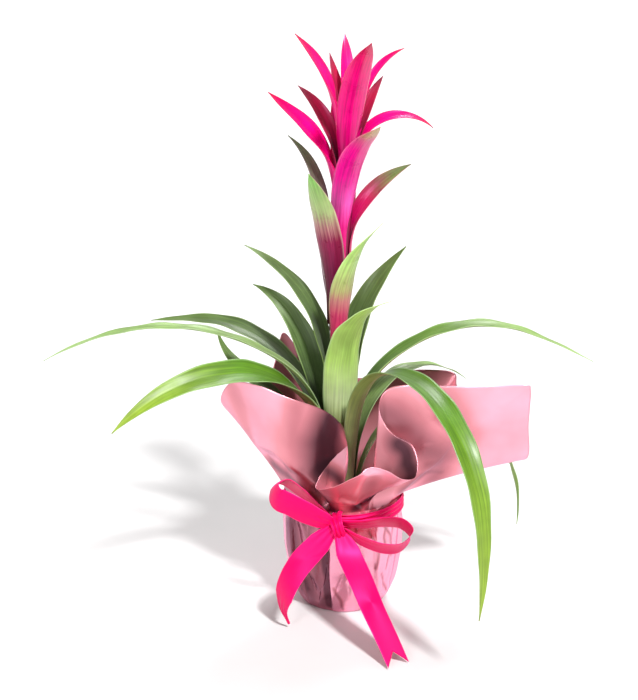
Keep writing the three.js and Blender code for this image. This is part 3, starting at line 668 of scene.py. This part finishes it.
# %% Rows round the pot, then out to the free edge
MIDDLE = {"share": 0.42, "lift": (0, 0, 6)}  # of the lines from the neck out to the free edge
SMOOTHING = 9  # rows over which the pot's side is rounded
side_z, side_r = np.array(POT_SIDE, float).T
pot_z = np.linspace(side_z[0], side_z[-1], POT_ROWS)
radii = np.pad(np.interp(pot_z, side_z, side_r), SMOOTHING // 2, mode="reflect", reflect_type="odd")
radii = np.convolve(radii, np.ones(SMOOTHING) / SMOOTHING, "valid")
rows = [ring_points(turn, r, z)
        for z, r in [(SHEET_BOTTOM, r) for r in UNDER_POT] + list(zip(pot_z, radii))]
neck = rows[-1]
middle = mixed(neck, free_edge, MIDDLE["share"]) + MIDDLE["lift"] + belly
for v in np.linspace(0, 1, COLLAR_ROWS + 1)[1:]:
    rows.append(neck * (1 - v) ** 2 + middle * 2 * v * (1 - v) + free_edge * v * v)
smooth_sheet = np.stack(rows)
NECK_ROW = len(UNDER_POT) + POT_ROWS - 1


# %% [markdown]
# ## Creases
# A film keeps a mark wherever it was bent sharply. Each crease is a line drawn on the sheet. It
# lifts the sheet into a ridge, sinks it into a valley, or steps it up on one side where one fold
# laps over the next. Lines on the pot are given by compass angle and height, those on the collar
# by place along the free edge and share of the way out to it.

# %% Draw creases on the sheet
def on_pot(*path):
    """Row and column of places on the pot given as compass angle and height."""
    return [(len(UNDER_POT) + np.interp(z, pot_z, np.arange(POT_ROWS)),
             np.interp(angle + 360 * (angle <= neck_angles[0]), neck_angles, np.arange(columns)))
            for angle, z in path]


def on_collar(*path):
    """Row and column of places on the collar: point of the free edge, and share of the way to it."""
    return [(NECK_ROW + share * COLLAR_ROWS, np.interp(point, knots, np.arange(columns)))
            for point, share in path]


def placed(where, lines):
    """Lines whose points were given on the pot or on the collar, each with its settings."""
    return [(where(*path), *settings) for path, *settings in lines]


# Line, height in mm (negative for a valley), reach in mm, and the side of a step
CREASES = placed(on_collar, [
    (((0.5, 0.5), (2.0, 0.5), (3.4, 0.39), (4.8, 0.25)), 8.0, 10, 0),
    (((2.0, 0.5), (2.3, 0.25), (2.4, 0.05)), -2.0, 9, 0),
    (((13.0, 1.0), (13.1, 0.7), (13.4, 0.4), (13.8, 0.12)), 6.5, 11, 0),
    (((11.2, 0.5), (12.4, 0.32), (13.6, 0.26)), -1.5, 6, 0),
    (((17.0, 0.62), (16.0, 0.42), (15.0, 0.22), (14.4, 0.08)), -5.5, 8, 0),
    (((23.7, 0.77), (25.3, 0.6), (26.9, 0.41)), -4.0, 16, 0),
    (((25.0, 0.42), (25.9, 0.34), (26.8, 0.33), (27.3, 0.4)), 1.6, 7, 0),
    (((32.2, 0.8), (31.2, 0.45), (30.8, 0.1)), -3.0, 12, 0),
    (((36.0, 0.9), (36.4, 0.5), (36.0, 0.1)), 3.0, 14, 0),
    (((41.5, 0.8), (41.0, 0.4), (41.2, 0.1)), -4.0, 12, 0),
]) + placed(on_pot, [
    (((256, 112), (257, 70), (256.5, 40), (258, 5)), 3.6, 17, 1),
    (((254.5, 60), (250, 36), (238, 8)), 2.4, 7, 1),
    (((214, 100), (222, 62), (236, 14)), -4.2, 7, 0),
    (((207, 106), (211, 60), (221, 14)), 2.4, 11, -1),
    (((268, 8), (281, 26), (292, 52)), 1.0, 7, 0),
    (((281, 26), (290, 6)), 1.0, 6, 0),
    (((300, 108), (303, 60), (311, 12)), 1.8, 10, 1),
    (((263, 98), (271, 74), (274, 46)), 1.7, 4, 0),
    (((274, 46), (286, 30), (291, 10)), -1.7, 4, 0),
    (((284, 104), (280, 82), (290, 58)), -1.8, 4, 0),
    (((296, 94), (306, 76), (304, 52)), 1.7, 4, 0),
    (((311, 100), (322, 84), (329, 58)), 1.8, 4, 0),
    (((314, 42), (325, 26), (338, 12)), -1.8, 4, 0),
    (((337, 98), (328, 74), (321, 46)), -1.5, 4, 0),
    (((261, 34), (268, 20), (270, 6)), 1.5, 4, 0),
    (((222, 100), (236, 84), (246, 64)), 1.9, 4, 0),
    (((228, 50), (240, 34), (250, 14)), 1.8, 4, 0),
    (((318, 110), (314, 84), (318, 70)), -2.2, 4, 0),
    (((331, 108), (333, 60), (326, 10)), -2.0, 8, 0),
    (((350, 108), (345, 60), (352, 8)), 2.6, 13, 1),
    (((18, 110), (24, 60), (14, 8)), -2.4, 9, 0),
    (((42, 108), (38, 60), (46, 8)), 2.6, 13, -1),
    (((70, 110), (76, 60), (68, 10)), -2.0, 8, 0),
    (((95, 108), (92, 60), (101, 8)), 2.6, 13, 1),
    (((124, 110), (119, 60), (128, 10)), -2.4, 9, 0),
    (((150, 108), (156, 60), (148, 8)), 2.6, 13, 1),
    (((179, 110), (175, 60), (180, 10)), 2.2, 10, -1),
])


CREST = 1.8  # radius of a crease's crest, in mm
LAP = 1.3  # half the width over which a step rises, in mm
FOLD_SPAN = 45  # a line reaches no fold whose columns are further off than this
LINE_SPOTS = 90  # places along a line from which distances are taken
FADE = 0.35  # length of each end over which a crease runs out, counted in the line's points


def from_line(sheet, path):
    """Each point's distance from a line on the sheet, how far along the line its nearest place is
    (counted in the line's points), and how many columns to the side."""
    shape = sheet.shape[:2]
    path = np.array(path, float)
    dense = np.linspace(0, len(path) - 1, LINE_SPOTS)
    row, column = [np.interp(dense, np.arange(len(path)), path[:, k]) for k in (0, 1)]
    low, left = np.floor(row).astype(int).clip(0, shape[0] - 2), np.floor(column).astype(int)
    part_row, part_column = (row - low)[:, None], (column - left)[:, None]
    line = sum(sheet[low + i, (left + j) % shape[1]]
               * abs(1 - i - part_row) * abs(1 - j - part_column)
               for i in (0, 1) for j in (0, 1))
    away = np.full(shape, np.inf)
    nearest = np.zeros(shape, int)
    for k, spot in enumerate(line):
        reach = np.linalg.norm(sheet - spot, axis=-1)
        nearest[reach < away] = k
        away = np.minimum(away, reach)
    gap = np.arange(shape[1]) - column[nearest]
    gap = (gap + shape[1] / 2) % shape[1] - shape[1] / 2
    return away, dense[nearest], gap, len(path) - 1


def creased(sheet):
    """The sheet with every crease added along its outward normals."""
    lift = np.zeros(sheet.shape[:2])
    for path, height, reach, side in CREASES:
        away, along, gap, end = from_line(sheet, path)
        step = 1 if side == 0 else np.clip(side * np.sign(gap) * away / LAP, -1, 1) * 0.75 + 0.1
        away = np.hypot(away, CREST) - CREST
        inside = smoothstep(along, 0, FADE) * smoothstep(end - along, 0, FADE)
        fall = np.exp(-(away / reach) ** 1.15) * (np.abs(gap) < FOLD_SPAN)
        lift += (0.3 + 0.7 * inside) * height * step * fall
    normals = sheet_normals(sheet, loop=True)
    return sheet - normals * lift[..., None]


# %% [markdown]
# ## Painted shade on the film
# The film's colour is darkened towards mauve where shade falls: in its deep folds and hollows, on
# the inner faces of the collar, in front of the dark heart of the plant and beside the bow. On the
# pot the darker film is partly the single layer over the brown pot and partly painted shade on the
# side turned from the key light; where one layer hangs free it is pale. Two weak fields on the left
# of the collar lie either side of a pale band and make it a painted highlight. The fields are drawn
# like the creases, as lines on the sheet with a soft reach.

# %% Fields of painted shade on the film
# Line, reach in mm and depth from 0 to 1
PAINTED_SHADE_OUTSIDE = placed(on_collar, [
    (((4.8, 0.95), (4.5, 0.72), (4.7, 0.5)), 31, 1.0),
    (((3.6, 0.42), (4.6, 0.3), (5.6, 0.2), (6.5, 0.12)), 13, 0.6),
    (((1.0, 0.28), (2.0, 0.24), (3.2, 0.2)), 9, 0.7),
    (((8.7, 0.95), (8.9, 0.55), (9.4, 0.25), (10.2, 0.1)), 9, 0.9),
    (((17.0, 0.62), (16.0, 0.42), (15.0, 0.22), (14.4, 0.08)), 8, 1.0),
    (((13.7, 0.7), (14.2, 0.4)), 11, 0.35),
    (((19.0, 0.55), (20.5, 0.45), (22.0, 0.35)), 24, 0.55),
    (((22.0, 0.8), (23.0, 0.7), (24.6, 0.52), (26.4, 0.35)), 21, 0.6),
    (((27.8, 0.35), (28.8, 0.3)), 16, 0.5),
    (((28.2, 0.36), (26.8, 0.22), (25.4, 0.1)), 8, 0.6),
    (((3.9, 0.36), (3.2, 0.38), (2.6, 0.36)), 8, 0.5),
    # These two weak fields lie either side of a pale band on the left of the collar, which makes it a
    # painted highlight
    (((3.3, 0.95), (3.2, 0.75), (3.1, 0.58)), 13, 0.32),
    (((1.0, 0.95), (0.6, 0.75), (0.3, 0.6)), 9, 0.12),
    (((24.4, 0.85), (25.4, 0.6), (26.8, 0.45)), 22, 0.25),
]) + placed(on_pot, [
    # On the pot: partly the single layer over the brown pot, partly painted shade on the side turned
    # from the key light
    (((205, 108), (212, 60), (226, 16)), 22, 0.8),
    (((232, 108), (238, 60), (246, 12)), 20, 0.7),
    (((250, 108), (252, 60), (254, 10)), 9, 1.0),
    # Painted shade beside the bow, at the top of the band
    (((296, 116), (320, 115), (340, 114)), 7, 0.7),
])
# Painted shade on the inner faces of the collar, in its pockets and at its back
PAINTED_SHADE_INSIDE = placed(on_collar, [
    (((6.8, 0.2), (7.6, 0.6), (8.4, 0.95)), 8, 0.8),
    (((13.6, 0.7), (15.0, 0.88), (16.4, 0.92), (17.4, 0.85), (18.6, 0.92)), 15, 0.9),
    (((24.0, 0.5), (28.0, 0.5)), 30, 0.6),
    (((31.6, 0.9), (33.2, 0.97), (35.0, 0.9), (37.5, 0.9)), 34, 0.45),
    (((39.0, 0.8), (40.5, 0.9), (42.0, 0.8)), 40, 0.5),
])


# How deep the painted shade is at each point of the sheet, from its nearest fields
def painted_shade_depth(sheet, fields):
    depth = np.zeros(sheet.shape[:2])
    for path, reach, strength in fields:
        away, _, gap, _ = from_line(sheet, path)
        near = np.abs(gap) < FOLD_SPAN * 2
        depth = np.maximum(depth, strength * np.exp(-(away / reach) ** 2) * near)
    return depth


# %% Gather the sheet, crease it and mark where shade is painted
# Many small gathers where the ribbon ties the sheet
TIE = {"height": 109, "spread": 8, "gathers": 29, "depth": 0.8, "within": 75}  # mm
PALE_FOLD = 256.5  # degrees; a paler fold laps over the front from here on
# Painted shade along the sharp little creases of the tight film
SHARP = {"reach": 5, "shade_reach": 1.4, "shade": 0.5}  # mm; creases with less reach are sharp

tied = np.exp(-((smooth_sheet[..., 2] - TIE["height"]) / TIE["spread"]) ** 2)
tied[:len(UNDER_POT) + 1] = 0
tied[np.hypot(smooth_sheet[..., 0], smooth_sheet[..., 1]) >= TIE["within"]] = 0
gather = TIE["depth"] * np.cos(TIE["gathers"] * turn + 2.2 * np.sin(5 * turn))
outward = ring_points(turn, 1, 0)
wrap_grid = creased(smooth_sheet + outward * (gather * tied)[..., None])
wrap_grid[..., 2] = np.maximum(wrap_grid[..., 2], SHEET_BOTTOM)
# Painted shade on the sheet's outer face and on its inner face
outside, inside = painted_shade_depth(wrap_grid, PAINTED_SHADE_OUTSIDE), painted_shade_depth(wrap_grid, PAINTED_SHADE_INSIDE)
# No painted shade on the pot where the paler fold laps over the front
outside[:NECK_ROW, neck_angles >= PALE_FOLD] = 0
# A thin line of painted shade along every sharp crease
crease_shade_lines = [(path, SHARP["shade_reach"], SHARP["shade"]) for path, _, reach, _ in CREASES
               if reach < SHARP["reach"]]
outside = np.maximum(outside, painted_shade_depth(wrap_grid, crease_shade_lines))
# Columns run the other way from here, so that the sheet's normals point outwards
dark = np.stack([outside, inside])[:, :, ::-1]
wrap_grid = wrap_grid[:, ::-1]

# %% [markdown]
# ## The wrap's finish
# The film is dyed in the mass and calendered between warm rollers, which leaves a pearly skin. That
# is half a mirror with a rough face: the eye sees a wide pale highlight that slides over each curl.
# Round the pot it is pulled tight, so it is smoother there and mirrors more. Its surface still has
# shallow dents from handling and a very fine grain from the rollers.

# %% Satin film
DENT = 34 * MM
GRAIN = 0.9 * MM
TIGHT_BELOW, FREE_ABOVE = 105 * MM, 135 * MM  # heights between which the tight film turns to collar


def satin_film(name):
    made, tree, shader = new_material(name)
    where = add(tree, "TexCoord", out="Object")
    height = add(tree, "SeparateXYZ", {0: where}, out="Z")
    tight = ranged(tree, height, TIGHT_BELOW, FREE_ABOVE, 1.0, 0.0)
    # The painted shade drawn on the sheet, from 0 to 1
    dark = add(tree, "Attribute", out="Fac", attribute_name="dark")
    # Random mottling of the film's tone, plus the painted shade
    mottle_and_shade = maths(tree, "MULTIPLY_ADD", speckle(tree, where, 14.0, detail=3.0), 0.25, dark)
    # Pale pink film that turns dark mauve under the painted shade
    tone = ramp(tree, mottle_and_shade, {0.1: "#f8b0c4", 0.23: "#dc8e98", 0.42: "#c27680",
                              1.0: "#542e38"})
    # Round the pot the film is mixed towards a paler, cooler pink, less where the painted shade lies:
    # painted light on its lit side
    pale_lit_pot_tint = maths(tree, "MULTIPLY", tight, ranged(tree, dark, 0.0, 0.8, 0.28, 0.05))
    dents = speckle(tree, where, 1 / DENT, detail=1.0, distortion=0.6)
    grained = relief(tree, speckle(tree, where, 1 / GRAIN), 0.05 * MM, strength=0.25,
                     Normal=relief(tree, dents, 0.7 * MM))
    set_finish(tree, shader, Base_Color=blend(tree, pale_lit_pot_tint, tone, colour("#f8a8cc")),
               Normal=grained, Roughness=ranged(tree, tight, 0.0, 1.0, 0.34, 0.25),
               Metallic=ranged(tree, tight, 0.0, 1.0, 0.72, 0.86), IOR=1.5,
               Specular_Tint=colour("#ffd8f0"), Coat_Weight=0.2, Coat_Roughness=0.3)
    return made


wrap = sheet_piece("wrap_sheet", wrap_grid, FILM, satin_film("satin_film_dusty_rose"), loop=True)
# The painted shade, one value at each point of the sheet
layer = wrap.data.attributes.new("dark", "FLOAT", "POINT")
layer.data.foreach_set("value", dark.ravel().astype(np.float32))
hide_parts("wrap")
print("wrap: grid", wrap_grid.shape[:2])

# %% [markdown]
# ## Satin ribbon
# A 25 mm single-faced satin ribbon: long floats of shiny thread on the face give it a highlight that
# runs with the light, and its woven edges hold it flat, so it bends like a strip of steel and does
# not crumple. It is built as strips that follow listed runs, each strip lying in its own plane.

# %% Satin
THREAD = 0.5 * MM  # real threads are 0.12 mm apart, too fine to show


def satin_weave(name):
    made, tree, shader = new_material(name)
    place = add(tree, "Attribute", out="Vector", attribute_name="place")
    share = add(tree, "Attribute", out="Vector", attribute_name="share")
    floats = add(tree, "VectorMath", {0: place, 1: (1 / THREAD, 90.0, 1.0)}, operation="MULTIPLY")
    thread = speckle(tree, floats, 1.0)
    tone = ramp(tree, thread, {0.25: "#cc0048", 0.75: "#e0045c"})
    from_rib = maths(tree, "ABSOLUTE", add(tree, "SeparateXYZ", {0: share}, out="X"))
    selvedge = ranged(tree, from_rib, 0.93, 0.96, 0.0, 0.6)
    set_finish(tree, shader, Base_Color=blend(tree, selvedge, tone, colour("#ff2c84")),
               Normal=relief(tree, thread, 0.06 * MM, strength=0.5),
               Roughness=0.42, IOR=1.6, Specular_IOR_Level=0.9,
               Specular_Tint=colour("#f04898"), Anisotropic=0.7, Sheen_Weight=0.6,
               Sheen_Roughness=0.3, Sheen_Tint=colour("#ff2898"))
    return made


SATIN = satin_weave("polyester_satin_hot_pink")
RIBBON_WIDTH = 25.0
RIBBON_THICKNESS = 0.5
STRIP_COLUMNS = 24


def strip_grid(route, leans, widths, samples, cup, ripple=0.0):
    """A ribbon along a route. leans: which way its width lies. cup: how far its middle bulges.
    ripple: height of three lengthwise folds, strongest where the ribbon is pulled narrow."""
    t = np.linspace(0, 1, samples + 1)
    middle = spline(route, t * (len(route) - 1))
    forward = unit(np.gradient(middle, axis=0))
    lean = spline(leans, t * (len(leans) - 1))
    across = unit(lean - forward * (lean * forward).sum(1, keepdims=True))
    face = np.cross(forward, across)
    half = np.interp(t, np.linspace(0, 1, len(widths)), widths) / 2
    s = np.linspace(-1, 1, STRIP_COLUMNS + 1)
    pinch = ripple + 0.8 * (1 - 2 * half / RIBBON_WIDTH)
    bulge = cup * (1 - s ** 2) + pinch[:, None] * np.cos(3 * math.pi * s + 2 * t[:, None])
    side = (half[:, None] * s)[..., None]
    return middle[:, None] + across[:, None] * side + face[:, None] * bulge[..., None]


W = RIBBON_WIDTH
EDGE_ON, OPEN = (0.35, -0.8, 0.55), (0.45, -0.2, 0.9)  # how the left loop turns as it comes round
RIBBON_RUNS = {
    "bow_loop_left": dict(
        route=[(-10, -62, 110), (-25, -60, 123), (-43, -58, 139), (-59, -61, 151), (-68, -69, 148),
               (-65, -76, 140), (-53, -82, 136), (-37, -82, 127), (-20, -78, 117), (-9, -73, 112)],
        leans=[EDGE_ON] * 3 + [OPEN] * 3,
        widths=[9, 18, W, W, W, W, W, W, 20, 9], samples=80, cup=1.2),
    "bow_loop_right": dict(
        route=[(-8, -70, 112), (17, -66, 108), (42, -62, 109), (59, -62, 107), (68, -68, 99),
               (58, -76, 88), (42, -80, 88), (19, -80, 96), (0, -76, 107)],
        leans=[(0.1, -0.68, 0.72)] * 2,
        widths=[9, 20, W, W, W, W, W, 22, 9], samples=72, cup=0.8),
    "bow_tail_left": dict(
        route=[(-10, -75, 108), (-26, -80, 91), (-44, -84, 71), (-57, -86, 46), (-60, -83, 24),
               (-54, -79, 5)],
        leans=[(0.6, -0.2, -0.75), (0.7, -0.3, -0.6), (0.75, -0.55, -0.3), (0.6, -0.8, 0),
               (0.5, -0.85, 0)],
        widths=[12, 23, W, W, W, 13, 3], samples=48, cup=0.8),
    "bow_tail_right": dict(
        route=[(-3, -77, 104), (6, -88, 85), (18, -106, 65), (30, -125, 43), (43, -142, 21),
               (54, -158, 1.3)],
        leans=[(0.95, 0.2, 0.3), (0.92, 0.35, 0.1), (0.85, 0.5, 0), (0.8, 0.6, 0)],
        widths=[12, 24, W, W, W, W, W], samples=48, cup=0.5),
    "bow_knot": dict(
        route=[(-9, -61, 116), (-9, -72, 118), (-7, -79, 115), (-5, -82, 109), (-3, -79, 102),
               (-2, -72, 98), (-2, -62, 98)],
        leans=[(0.9, 0, 0.45), (0.95, 0, 0.3)],
        widths=[19, 15, 12, 11, 12, 15, 19], samples=40, cup=1.4, ripple=0.75),
}
NOTCH_DEPTH = 15.0


def notched(grid):
    """Slides the last rows back towards the middle line, so that the end has two points."""
    s = np.abs(np.linspace(-1, 1, grid.shape[1]))
    t = np.linspace(0, 1, grid.shape[0])
    length = np.linalg.norm(np.diff(grid[:, 0], axis=0), axis=-1).sum()
    cut = 1 - (1 - s) * NOTCH_DEPTH / length
    out = np.empty_like(grid)
    for j in range(grid.shape[1]):
        for axis in range(3):
            out[:, j, axis] = np.interp(t * cut[j], t, grid[:, j, axis])
    return out


for name, run in RIBBON_RUNS.items():
    grid = strip_grid(**run)
    middle = grid[:, STRIP_COLUMNS // 2]
    if name == "bow_tail_right":
        grid = notched(grid)
    piece = sheet_piece(name, grid, RIBBON_THICKNESS, SATIN)
    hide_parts("ribbon")

# %% [markdown]
# ## Band
# The band runs once round the neck of the wrap. The ribbon is 25 mm wide but is drawn together to a
# little over half of that by the knot, so three soft folds run along it.

# %% Band
BAND = {"low": 102, "high": 116, "radius": 60.6, "folds": 3, "fold_height": 0.85, "wander": 1.5}
level = np.linspace(BAND["low"], BAND["high"], STRIP_COLUMNS + 1)
across = np.linspace(0, 2 * math.pi * BAND["folds"], STRIP_COLUMNS + 1)
band_rows = []
for turn in np.linspace(0, 2 * math.pi, 181):
    fold = BAND["fold_height"] * (1 + np.sin(across + BAND["wander"] * math.sin(3 * turn)))
    band_rows.append(ring_points(turn, BAND["radius"] + fold, level))
band = sheet_piece("bow_band", np.stack(band_rows), RIBBON_THICKNESS, SATIN)
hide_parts("ribbon")

# %% [markdown]
# ## Pot and soil
# The nursery pot is thin injection-moulded polypropylene. Only its rim can be seen, from above, so
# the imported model's pot stays and gets a finish: a slight orange-peel texture and a soft sheen.
# The potting mix is dark and lumpy. Its top is a disc with crumbs, raised by noise, and the plant's
# root ball fills the hole in its middle.

# %% Pot finish
pot_plastic, tree, shader = new_material("moulded_polypropylene_brown")
peel = speckle(tree, add(tree, "TexCoord", out="Object"), 900.0)
set_finish(tree, shader, Base_Color=ramp(tree, peel, {0.3: "#453631", 0.7: "#503f39"}),
           Normal=relief(tree, peel, 0.05 * MM, strength=0.3), Roughness=0.45, IOR=1.49)
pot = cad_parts["pot"]
pot.data.materials.clear()
pot.data.materials.append(pot_plastic)

# %% Potting mix
peat, tree, shader = new_material("peat_potting_mix")
crumb = speckle(tree, add(tree, "TexCoord", out="Object"), 420.0, detail=5.0)
tone = ramp(tree, crumb, {0.3: "#1c1410", 0.55: "#3c2c20", 0.75: "#6c5440"})
set_finish(tree, shader, Base_Color=tone, Normal=relief(tree, crumb, 1.2 * MM, strength=0.8),
           Roughness=0.95, IOR=1.4, Specular_IOR_Level=0.25)

# %% Soil with crumbs on top, and a hole for the root ball
soil_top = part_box("soil")[1].z / MM
LEVEL = soil_top - 1.5  # the crumbs rise and fall from here, in mm
SOIL = {"radius": 50.0, "foot_radius": 37.5, "foot": 3.2, "hole": 14.3, "hole_foot": 58}
CRUMBS = [(1.4, 3.0), (0.9, 9.0)]  # height and size, in mm
SOIL_SPOKES = 160
turn = np.linspace(0, 2 * math.pi, SOIL_SPOKES, endpoint=False)
profile = [(SOIL["hole"], SOIL["hole_foot"]), (SOIL["hole"], soil_top - 3)]
profile += [(r, LEVEL) for r in np.linspace(SOIL["hole"] + 1, SOIL["radius"], 34)]
profile += [(SOIL["radius"] - 0.8, soil_top - 6), (SOIL["foot_radius"], SOIL["foot"]),
            (SOIL["hole"], SOIL["foot"])]
rings = []
for radius, z in profile:
    middle = PLANT_X * (1 - smoothstep(radius, SOIL["hole"], 30))
    ring = ring_points(turn, radius, z, middle)
    if z == LEVEL:
        ring[:, 2] += [sum(high * noise.noise(Vector(p) / size) for high, size in CRUMBS)
                       for p in ring]
    rings.append(ring)
points = np.concatenate(rings)
index = np.arange(len(points)).reshape(len(rings), SOIL_SPOKES)
index = np.pad(index, ((0, 1), (0, 1)), mode="wrap")  # closed both round the pot and down the hole
faces = [face[::-1] for face in quads(index[:, :-1], index[:, 1:])]
soil = link_piece("soil_surface", points, faces, peat)
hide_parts("soil")
print("soil:", len(points), "points")
